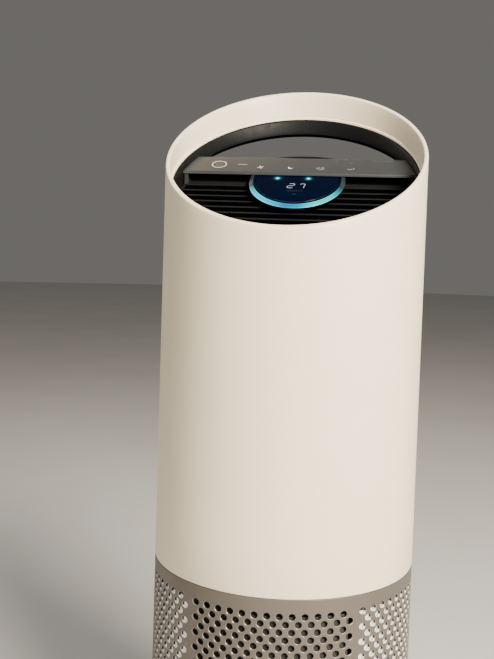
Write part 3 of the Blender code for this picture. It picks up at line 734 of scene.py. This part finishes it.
# ---------------------------------------------------------------- tubes with the hand slot
HAND_MIDDLE = -48.25
HAND_HEIGHT = 10.25
HAND_END = math.radians(56.5) - HAND_HEIGHT / SHELL_R
BENDS = [math.radians(90.0 - 10.0 * i) for i in range(9)]


def slot_columns():
    """Columns across the hand slot: each gives (angle, half height) for a slot grown by an amount."""
    def bent(side, bend):
        def column(grow):
            size = HAND_HEIGHT + grow
            angle = REAR + side * (HAND_END + size / SHELL_R * math.sin(bend))
            return angle, size * math.cos(bend) if bend < math.pi / 2 - 1e-6 else 0.0
        return column

    def straight(angle):
        return lambda grow: (angle, HAND_HEIGHT + grow)

    left = [bent(-1, bend) for bend in BENDS]
    right = [bent(1, bend) for bend in reversed(BENDS)]
    return left + [straight(angle) for angle in spread(REAR - HAND_END, REAR + HAND_END, 51)] + right


def tube_with_slot(name, upper, lower, layers, materials, node, slot_material=0, record_slot=None):
    """Closed slanted tube.  upper and lower are chains of (drop, inset) or ("z", height, inset) from
    the outside over the edge to the inside; layers are (inset, grow) through the slot, and the last
    three steps between them get slot_material."""
    skin = Skin()
    slots = slot_columns()
    tips = [slots[0](layers[0][1])[0], slots[-1](layers[0][1])[0]]
    plain = spread(tips[1], tips[0] + 2 * math.pi, 135)[1:-1]

    def section_point(angle, spec):
        if spec[0] == "z":
            return polar(level(spec[1], spec[2]), angle)
        if spec[0] == "rim":
            return polar(rim_point(angle, spec[1], spec[2]), angle)
        return polar(wall(angle, spec[0], spec[1]), angle)

    def chain(angle, specs):
        return [skin.point(section_point(angle, spec)) for spec in specs]

    columns = []
    for place in slots:
        base = place(layers[-1][1])[0]
        tops, lows = [], []
        for inset, grow in layers:
            angle, half = place(grow)
            tops.append(skin.point(polar(wall(angle, HAND_MIDDLE + half, inset), angle)))
            lows.append(skin.point(polar(wall(angle, HAND_MIDDLE - half, inset), angle)))
        columns.append((chain(base, upper), chain(base, lower), tops, lows))
    for angle in plain:
        insets = (layers[0][0], layers[-1][0])
        ends = [skin.point(polar(wall(angle, HAND_MIDDLE, inset), angle)) for inset in insets]
        columns.append((chain(angle, upper), chain(angle, lower), ends, ends))
    for index, (up0, low0, tops0, lows0) in enumerate(columns):
        up1, low1, tops1, lows1 = columns[(index + 1) % len(columns)]
        skin.strip([tops0[0], *up0, tops0[-1]], [tops1[0], *up1, tops1[-1]])
        skin.strip([lows0[0], *low0, lows0[-1]], [lows1[0], *low1, lows1[-1]])
        if index < len(slots) - 1:
            for here, there in ((tops0, tops1), (lows0, lows1)):
                skin.strip(here[:-3], there[:-3])
                skin.strip(here[-4:], there[-4:], slot_material)
    return skin.build(name, materials, "tower", [node], 34.0, record_slot=record_slot)


def arc(centre, radius, start, end):
    """Rounded corner in (drop, inset)."""
    points = []
    for angle in spread(math.radians(start), math.radians(end), 6):
        points.append((centre[0] + radius * math.sin(angle), centre[1] - radius * math.cos(angle)))
    return points


def build_shell():
    rim = arc((-1.6, 1.6), 1.6, 0, 90) + arc((-1.4, 2.2), 1.4, 90, 180)
    upper = [(-30.0, 0.0), (-8.0, 0.0)] + [("rim", drop, inset) for drop, inset in rim]
    upper += [(-6.0, SHELL_WALL), (LEDGE + 2.0, SHELL_WALL), (LEDGE + 1.9, 3.1), (LEDGE + 1.3, 3.1)]
    upper += [(LEDGE + 1.2, 4.7), (LEDGE + 0.9, 5.1), (LEDGE + 0.6, 5.2), (LEDGE - 0.6, 5.2)]
    upper += [(LEDGE - 0.8, 4.9), (LEDGE - 0.9, 4.0), (-30.0, 4.0)]
    lower = [(-66.0, 0.0), ("z", SHELL_LOW + 40, 0.0), ("z", SHELL_LOW + 0.6, 0.0)]
    lower += [("z", SHELL_LOW + 0.25, 0.12), ("z", SHELL_LOW, 0.6), ("z", SHELL_LOW, SHELL_WALL)]
    lower += [("z", SHELL_LOW + 40, SHELL_WALL), (-82.0, SHELL_WALL), (-80.0, 4.0), (-66.0, 4.0)]
    layers = [(0.0, 2.7), (0.12, 2.3), (0.6, 2.0), (4.0, 2.0)]
    tube_with_slot("upper_shell", upper, lower, layers, [WHITE], "shell", record_slot="shell_white")


def build_bowl():
    upper = [(-30.0, 4.4), (BEZEL_TOP - 0.2, 4.4), (BEZEL_TOP, 4.6), (BEZEL_TOP, 5.6)]
    upper += [(BEZEL_TOP - 0.1, 6.0), (BEZEL_TOP - 0.5, BEZEL_IN), (-32.0, BEZEL_IN)]
    lower = [(-66.0, 4.4), (-74.0, 4.4), (-74.0, BEZEL_IN), (-66.0, BEZEL_IN)]
    layers = [(4.4, 1.6), (0.9, 1.6), (0.9, 0.7), (1.0, 0.3), (1.5, 0.0), (4.6, 0.0)]
    layers += [(BEZEL_IN - 1.2, 0.5), (BEZEL_IN - 0.5, 1.7), (BEZEL_IN, 3.3)]
    # The last strips through the slot take the slats' painted-shade black
    tube_with_slot("bowl_liner", upper, lower, layers, [BLACK, SLAT_SHADE], "top_bezel", 1,
                   record_slot="black_plastic")


# ---------------------------------------------------------------- slatted decks
SLAT_PITCH = 8.66
CREST_HALF = 1.1                 # half the width of a slat's rounded crest
CREST_FACETS = range(3, 7)       # facets of the crest in the lit copy of the black plastic, a painted highlight
FRAME_DEPTH = 8.0
FRAME_FRONT = 5.0                # width of a deck's frame along its straight edges
FRAME_BACK = 7.0


def slat_section():
    """Cross-section of one vane, (across, drop): a rounded crest over a blade leaning forward."""
    crest = [(math.cos(a) * CREST_HALF, math.sin(a) * 0.7 - 0.7) for a in spread(0, math.pi, 9)]
    return crest + [(-1.7, -3.6), (-3.0, -7.4), (-2.2, -7.7), (-0.4, -3.6)]


def deck(name, node, y_low, y_high, drop, slats):
    """Frame with a softened inner edge, closed by leaning vanes."""
    inset = BEZEL_IN + 0.5
    skin = Skin()
    inner_low = y_low + FRAME_FRONT if y_low is not None else None
    inner_high = y_high - FRAME_BACK if y_high is not None else None
    outer = chord_plan(y_low, y_high, inset, drop, 60)
    inner = chord_plan(inner_low, inner_high, inset + 3.0, drop, 60)
    loops = []
    edge = ((0, -FRAME_DEPTH), (0, -0.4), (0.06, 0.0), (0.92, 0.0), (1, -0.4), (1, -FRAME_DEPTH))
    for share, low in edge:
        outline = [(x + share * (u - x), y + share * (v - y)) for (x, y), (u, v) in zip(outer, inner)]
        loops.append([skin.point(on_plane(x, y, drop + low)) for x, y in outline])
    # Top of the frame in the lit crest copy, its walls and underside in painted shade
    for number, (here, there) in enumerate(zip(loops, loops[1:] + loops[:1])):
        skin.strip(here, there, 0 if number in (1, 2, 3) else 1, ring=True)
    section = slat_section()
    reach_r = wall(FRONT, drop, inset)[0] - 1.5
    for y in slats:
        ends = []
        for side in (-1, 1):
            loop = []
            for across, depth in section:
                reach = math.sqrt(reach_r ** 2 - (y + across) ** 2)
                loop.append(skin.point(on_plane(side * reach, y + across, drop - 0.1 + depth)))
            ends.append(loop)
        for i in range(len(section)):
            j = (i + 1) % len(section)
            # Crest facets lit (painted highlight), the rest of the vane in painted shade
            part = 0 if i in CREST_FACETS else 1
            skin.face((ends[0][i], ends[0][j], ends[1][j], ends[1][i]), part)
        skin.face(ends[0], 1)
        skin.face(ends[1], 1)
    return skin.build(name, [CREST, SLAT_SHADE], "tower", [node], 40.0, record_slot="black_plastic")


def build_decks():
    front = [DECK_EDGE - FRAME_BACK - SLAT_PITCH * (i + 1) + CREST_HALF for i in range(13)]
    deck("front_deck", "front_grille", None, DECK_EDGE, FRONT_DECK, front)
    rear = [BEAM_BACK + 3.4 + SLAT_PITCH * (i + 1) - CREST_HALF for i in range(5)]
    deck("rear_deck", "rear_grille", BEAM_BACK + 0.4, None, REAR_DECK, rear)


# ---------------------------------------------------------------- control bar
def build_bar():
    """Plate of the control bar with softened edges and a slim lip."""
    plan = chord_plan(BAR_FRONT, BAR_BACK, BEZEL_IN + 0.6, BAR_TOP, 24)
    middle, half = 0.5 * (BAR_FRONT + BAR_BACK), 0.5 * (BAR_BACK - BAR_FRONT)
    skin = Skin()
    loops = []
    profile = [(0.3, BAR_UNDER), (0.0, BAR_UNDER + 0.3), (0.0, BAR_TOP - 0.6)]
    profile += [(0.12, BAR_TOP - 0.2), (0.5, BAR_TOP), (1.5, BAR_TOP)]
    for inset, drop in profile:
        loop = []
        for x, y in plan:
            loop.append(skin.point(on_plane(x * (1 - inset / 100), y + inset * (middle - y) / half, drop)))
        loops.append(loop)
    skin.loft(loops)
    skin.build("bar_plate", [BAR], "tower", ["bar_cover"], 40.0, record_slot="bar_grey")


# ---------------------------------------------------------------- marks and display
class Flat:
    """Thin raised marks drawn in a plane, then set on it by a matrix."""

    def __init__(self, thickness):
        self.skin = Skin()
        self.thickness = thickness

    def outline(self, points):
        top = [self.skin.point((x, y, self.thickness)) for x, y in points]
        low = [self.skin.point((x, y, 0.0)) for x, y in points]
        self.skin.face(top)
        self.skin.face(low)
        self.skin.strip(top, low, ring=True)

    def band(self, points, width, closed=False):
        """Stroke of constant width along a line."""
        count = len(points)
        left, right = [], []
        for i, (x, y) in enumerate(points):
            before = points[i - 1] if i or closed else points[i]
            after = points[(i + 1) % count] if i < count - 1 or closed else points[i]
            along = Vector((after[0] - before[0], after[1] - before[1])).normalized()
            left.append((x - along.y * width / 2, y + along.x * width / 2))
            right.append((x + along.y * width / 2, y - along.x * width / 2))
        loops = []
        for side, z in ((left, 0.0), (left, self.thickness), (right, self.thickness), (right, 0.0)):
            loops.append([self.skin.point((x, y, z)) for x, y in side])
        for here, there in zip(loops, loops[1:] + loops[:1]):
            self.skin.strip(here, there, ring=closed)
        if not closed:
            for i in (0, -1):
                self.skin.face([loop[i] for loop in loops])

    def circle(self, x, y, radius, width, start=0.0, sweep=360.0, count=28):
        closed = sweep >= 360.0
        angles = spread(math.radians(start), math.radians(start + sweep), count + 1)
        points = [(x + radius * math.cos(a), y + radius * math.sin(a)) for a in angles]
        self.band(points[:-1] if closed else points, width, closed)


def slanted_matrix(y, drop):
    """Frame of the slanted plane with its origin on the middle line at a plan y."""
    place = Matrix.Translation(Vector(on_plane(0.0, y, drop)) * MM)
    return place @ Matrix.Rotation(TILT, 4, "X")


def along_slope(y, origin):
    return (y - origin) / math.cos(TILT)


MARKS_Y = 33.0                   # plan y of the marks' own origin
POWER = (-73.0, 32.3)            # plan places of the touch marks
DASH = (-55.9, -47.3, 32.9)      # left end, right end, plan y
KEY_Y = 28.6
FAN_X, MOON_X, TIMER_X, LOCK_X = -34.7, -7.6, 19.9, 45.4


def build_marks():
    """Touch marks on the bar: plain generic signs."""
    def up(y):
        return along_slope(y, MARKS_Y)

    matrix = slanted_matrix(MARKS_Y, BAR_TOP)
    power_x, power_y, key_y = POWER[0], up(POWER[1]), up(KEY_Y)
    marks = Flat(0.06)
    marks.circle(power_x, power_y, 6.5, 0.62)
    for quarter in range(4):
        angle = math.radians(90 * quarter + 20)
        cos, sin = math.cos(angle), math.sin(angle)
        cx, cy = FAN_X + 1.5 * cos, key_y + 1.5 * sin
        petal = []
        for a in turn(10):
            u, v = 1.4 * math.cos(a), 0.42 * math.sin(a)
            petal.append((cx + u * cos - v * sin, cy + u * sin + v * cos))
        marks.outline(petal)
    crescent = [(MOON_X + 2.1 * math.cos(a), key_y + 2.1 * math.sin(a)) for a in spread(2.2, 6.3, 15)]
    for a in spread(5.9, 2.75, 12):
        crescent.append((MOON_X + 0.8 + 1.9 * math.cos(a), key_y + 0.8 + 1.9 * math.sin(a)))
    marks.outline(crescent)
    marks.skin.build("touch_marks", [MARK], "tower", matrix=matrix)

    faint = Flat(0.05)
    faint.band([(DASH[0], up(DASH[2])), (DASH[1], up(DASH[2]))], 0.7)
    faint.circle(TIMER_X, key_y, 2.5, 0.4, 130, 300)
    faint.band([(TIMER_X, key_y + 1.5), (TIMER_X, key_y), (TIMER_X + 1.2, key_y)], 0.35)
    faint.band([(TIMER_X - 4.6, key_y + 0.4), (TIMER_X - 3.4, key_y - 0.9)], 0.4)
    faint.circle(LOCK_X, key_y, 1.7, 0.45, 180, 180, 12)
    faint.band([(LOCK_X + 2.8, key_y - 1.6), (LOCK_X + 3.8, key_y + 1.4)], 0.45)
    faint.skin.build("touch_lines", [FAINT], "tower", matrix=matrix)

    dim = Flat(0.05)
    dim.band([(44.8, up(38.7)), (48.6, up(38.7))], 0.5)
    dim.band([(66.0, up(43.0)), (84.0, up(43.0))], 0.35)
    dim.circle(power_x, power_y, 2.4, 0.5, 115, 310)
    dim.band([(power_x, power_y + 3.1), (power_x, power_y + 0.6)], 0.5)
    dim.skin.build("touch_dim_lines", [DIM_MARK], "tower", matrix=matrix)


RING_PARTS = {3: 1, 4: 0, 5: 0, 6: 1, 7: 1}     # strips of the ring that glow, the rest are clear
DIGIT_WIDTH = 0.46
DIGIT_SLANT = 0.16
DIGITS = (("2", -7.6, 5.2, 4.0), ("7", 3.0, 3.8, 4.0))      # digit, left, width, height
SEGMENTS = {"2": "abged", "7": "abcf"}
SEGMENT_ENDS = {"a": ((0, 2), (1, 2)), "b": ((1, 2), (1, 1)), "c": ((1, 1), (1, 0)),
                "d": ((0, 0), (1, 0)), "e": ((0, 1), (0, 0)), "f": ((0, 2), (0, 1.6)),
                "g": ((0, 1), (1, 1))}


def disc_turns():
    """Angles round the display, which stops at a chord under the bar."""
    edge = math.asin(DISC_CUT / DISC_R)
    return spread(-math.pi - edge, edge, 121)


def disc_point(radius, drop, angle):
    """Point at a height above the display's face, which is round in plan."""
    return on_plane(radius * math.cos(angle), DISC_Y + radius * math.sin(angle), DISC_TOP + drop)


def build_disc():
    """Glass of the display and the bevelled light ring round it."""
    glass = Skin()
    loops = []
    for radius, drop in ((DISC_R, -1.3), (DISC_R, -0.3), (DISC_R - 0.12, -0.08), (DISC_R - 0.4, 0.0)):
        loops.append([glass.point(disc_point(radius, drop, angle)) for angle in disc_turns()])
    glass.loft(loops)
    glass.build("display_glass", [LENS], "tower", ["display_lens"], record_slot="lens_black")

    ring = Skin()
    bevel = [(RING_IN, -0.25), (RING_IN + 0.25, -0.05), (RING_IN + 0.8, -0.1), (RING_IN + 2.1, -0.53)]
    bevel += [(RING_IN + 2.5, -0.68), (RING_OUT - 0.8, -1.45), (RING_OUT - 0.35, -1.7)]
    bevel += [(RING_OUT, -2.1), (RING_OUT, -2.4)]
    bevel += [(RING_OUT - 0.2, -3.0), (RING_OUT - 2.0, -3.8), (RING_IN, -3.8)]
    loops = []
    for angle in disc_turns():
        loops.append([ring.point(disc_point(radius, drop, angle)) for radius, drop in bevel])
    for here, there in zip(loops, loops[1:]):
        for i in range(len(bevel)):
            j = (i + 1) % len(bevel)
            ring.face((here[i], here[j], there[j], there[i]), RING_PARTS.get(i, 2))
    ring.face(loops[0], 2)
    ring.face(loops[-1], 2)
    ring.build("glow_ring", [GLOW, GLOW_EDGE, LENS], "tower", ["light_ring"], 50.0, record_slot="ring_glow")


def build_digits():
    """Two generic seven-segment digits, a small line and an arrow, just above the glass."""
    face = Flat(0.05)
    base = along_slope(0.8, DISC_Y)
    for digit, left, wide, tall in DIGITS:
        for segment in SEGMENTS[digit]:
            stroke = []
            for u, v in SEGMENT_ENDS[segment]:
                stroke.append((left + u * wide + v * tall * DIGIT_SLANT, base + v * tall))
            (x0, y0), (x1, y1) = stroke
            x_in, y_in = 0.1 * (x1 - x0), 0.1 * (y1 - y0)
            face.band([(x0 + x_in, y0 + y_in), (x1 - x_in, y1 - y_in)], DIGIT_WIDTH)
    matrix = slanted_matrix(DISC_Y, DISC_TOP + 0.03)
    face.skin.build("display_digits", [DIGIT], "tower", matrix=matrix)
    small = Flat(0.05)
    line_y = along_slope(-3.9, DISC_Y)
    for step in range(9):
        x = -7.4 + 1.62 * step
        small.band([(x, line_y), (x + 0.95, line_y)], 0.5)
    arrow_y = along_slope(-9.3, DISC_Y)
    small.band([(-1.7, arrow_y + 0.7), (-0.3, arrow_y - 0.5), (1.1, arrow_y + 0.7)], 0.4)
    small.skin.build("display_lines", [DIM_DIGIT], "tower", matrix=matrix)
    spots = Flat(0.03)
    for x, y in SPOTS:
        y = along_slope(y, DISC_Y)
        spots.outline([(x + 8.6 * math.cos(a), y + 6.0 * math.sin(a)) for a in turn(36)])
    spots.skin.build("display_glow", [SPOT], "tower", matrix=matrix)


# ---------------------------------------------------------------- finishes of carried-over nodes
def paint_nodes():
    # The outlet duct and air divider take the slats' painted-shade black
    looks = {
        "base": PAINT, "bottom_cover": DARK, "power_inlet": DARK, "door_latch": BLACK,
        "screen_front": CARBON, "screen_left": LIT_FELT, "screen_right": LIT_FELT, "door_screen": LIT_FELT,
        "filter_bottom_cap": NATURAL, "filter_top_cap": NATURAL, "filter_media": FELT,
        "filter_wrap": CARBON, "filter_tab": RIBBON, "filter_seal": FOAM, "filter_deck": DARK,
        "inlet_ring": DARK, "uv_lamp": QUARTZ, "uv_socket": NATURAL, "fan_housing": NATURAL,
        "impeller": NATURAL, "stator": NATURAL, "outlet_duct": SLAT_SHADE, "air_divider": SLAT_SHADE,
        "main_board": BOARD, "touch_board": BOARD, "display_board": BOARD, "power_supply": DARK,
        "bar_beam": BEAM, "bar_cover": BAR, "display_lens": LENS, "light_ring": GLOW,
        "display_housing": BLACK, "chassis_post": DARK, "foot_pad": RUBBER,
    }
    for name, obj in nodes.items():
        found = [mat for key, mat in looks.items() if name.startswith(key + "_")]
        mat = looks.get(name) or (found[0] if found else STEEL)
        for slot in obj.material_slots:
            slot.material = mat
        if not obj.material_slots:
            obj.data.materials.append(mat)


# ---------------------------------------------------------------- stage
FLOOR_RADIUS = 9.0               # metres, as everything on the stage
WORLD_STRENGTH = 0.17


def build_stage():
    """Pale matt floor and an even grey surround."""
    mat, tree, shader = new_material("pale_floor", Roughness=0.9)
    vector = object_coordinates(tree)
    soft = noise(tree, vector, 3.0, 3.0)
    join(tree, blend(tree, soft, (0.64, 0.63, 0.61), (0.68, 0.67, 0.65)), shader, "Base Color")
    bm = bmesh.new()
    bmesh.ops.create_circle(bm, cap_ends=True, radius=FLOOR_RADIUS, segments=96)
    mesh = bpy.data.meshes.new("floor")
    bm.to_mesh(mesh)
    bm.free()
    mesh.materials.append(mat)
    add_object("floor", mesh)
    world = bpy.data.worlds.new("studio")
    world.use_nodes = True
    backdrop = world.node_tree.nodes["Background"]
    backdrop.inputs["Color"].default_value = (0.90, 0.86, 0.80, 1.0)
    backdrop.inputs["Strength"].default_value = WORLD_STRENGTH
    bpy.context.scene.world = world


def area_light(name, place, target, size, power, colour):
    light = bpy.data.lights.new(name, "AREA")
    light.shape = "DISK"
    light.size = size
    light.energy = power
    light.color = colour
    obj = add_object(name, light)
    obj.location = place
    obj.rotation_euler = (Vector(target) - Vector(place)).to_track_quat("-Z", "Y").to_euler()


def build_lights():
    area_light("key", place=(1.15, -1.35, 1.65), target=(0.0, 0.0, 0.42), size=0.9, power=165.0,
               colour=(1.0, 0.90, 0.755))
    area_light("fill", place=(-1.6, -1.3, 0.9), target=(0.0, 0.0, 0.4), size=1.4, power=0.8,
               colour=(1.0, 0.84, 0.66))
    area_light("rear", place=(-1.05, 0.6, 1.65), target=(0.0, 0.0, 0.6), size=0.7, power=12.0,
               colour=(1.0, 0.95, 0.88))


CAMERA = Vector((71.45, -815.07, SEAM_Z + 284.13))
HEADING, DIP, ROLL = math.radians(-7.70), math.radians(5.90), math.radians(1.69)
LENS_LENGTH = 50.84


def build_camera():
    """Camera level with the rim's low front, a little right of the middle, with a small roll."""
    level_part = math.cos(DIP)
    forward = Vector((math.sin(HEADING) * level_part, math.cos(HEADING) * level_part, -math.sin(DIP)))
    right = forward.cross(Vector((0, 0, 1))).normalized()
    up = right.cross(forward)
    across = right * math.cos(ROLL) + up * math.sin(ROLL)
    upward = up * math.cos(ROLL) - right * math.sin(ROLL)
    matrix = Matrix((across, upward, -forward)).transposed().to_4x4()
    matrix.translation = CAMERA * MM
    data = bpy.data.cameras.new("camera")
    data.lens = LENS_LENGTH
    data.clip_end = 50.0
    camera = add_object("camera", data)
    camera.matrix_world = matrix
    bpy.context.scene.camera = camera


build_camera()
build_lights()
build_stage()
build_shell()
build_bowl()
build_sleeve()
build_decks()
build_bar()
build_marks()
build_disc()
build_digits()
paint_nodes()
